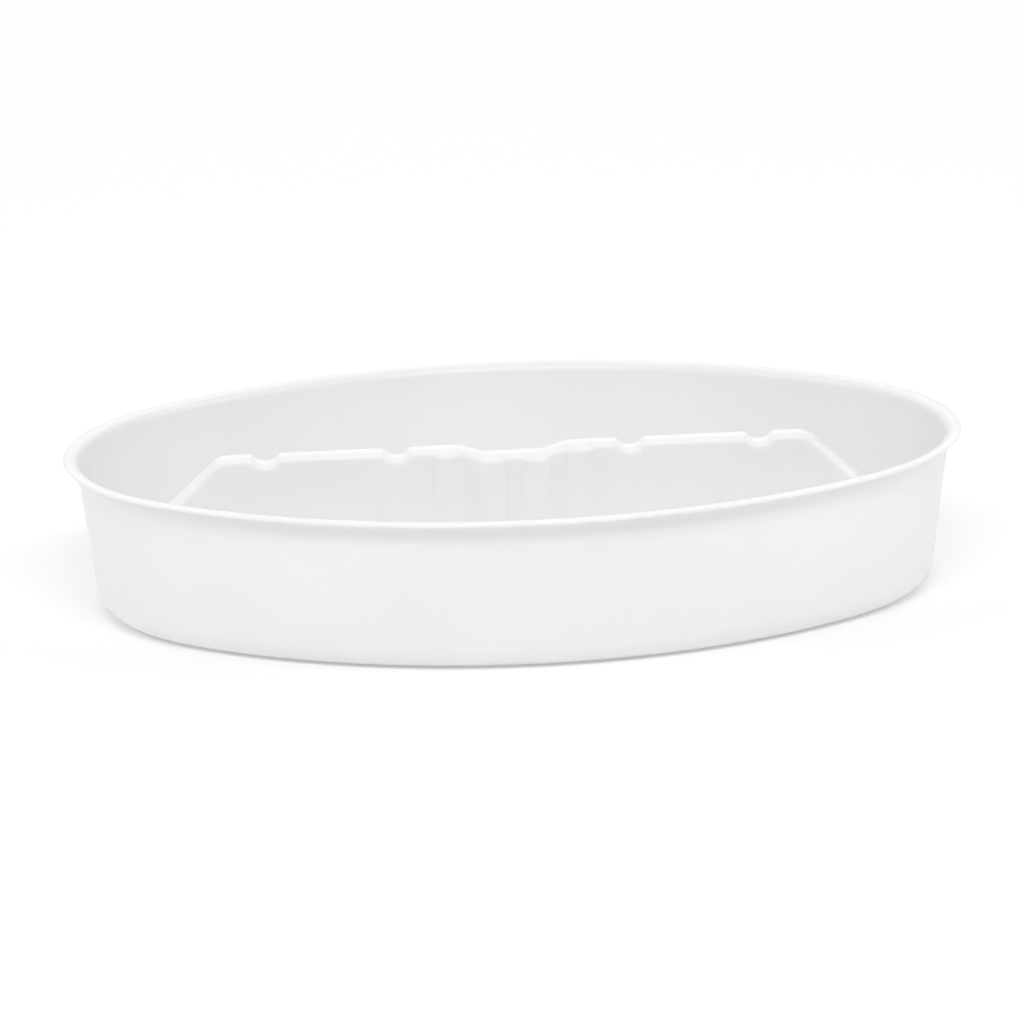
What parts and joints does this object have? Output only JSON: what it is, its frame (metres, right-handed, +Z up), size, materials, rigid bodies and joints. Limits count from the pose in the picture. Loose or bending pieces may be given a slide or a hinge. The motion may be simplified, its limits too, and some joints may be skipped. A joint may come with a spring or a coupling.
{
  "type": "paint roller tray",
  "caption": "Oval white plastic paint tray with a flared lip and a lift-out centre divider that has a fluted finger grip, a handle cradle and drain notches.",
  "frame": {"origin": "centre of the tray's footprint, on the plane that its floor rests on", "axes": "+X along the tray's length and the divider's crest, +Y towards the well with the roll-off bars, +Z up out of the tray's mouth"},
  "size_m": [0.4, 0.28, 0.07],
  "materials": {
    "tray_plastic": "satin",
    "divider_plastic": "satin"
  },
  "bodies": {
    "tray": {"tray_shell": "tray_plastic"},
    "divider": {"divider": "divider_plastic"}
  },
  "joints": [
    {"name": "divider_lift", "type": "slide", "parent": "tray", "child": "divider", "axis": [0, 0, 1], "range_m": [0, 0.09]}
  ]
}
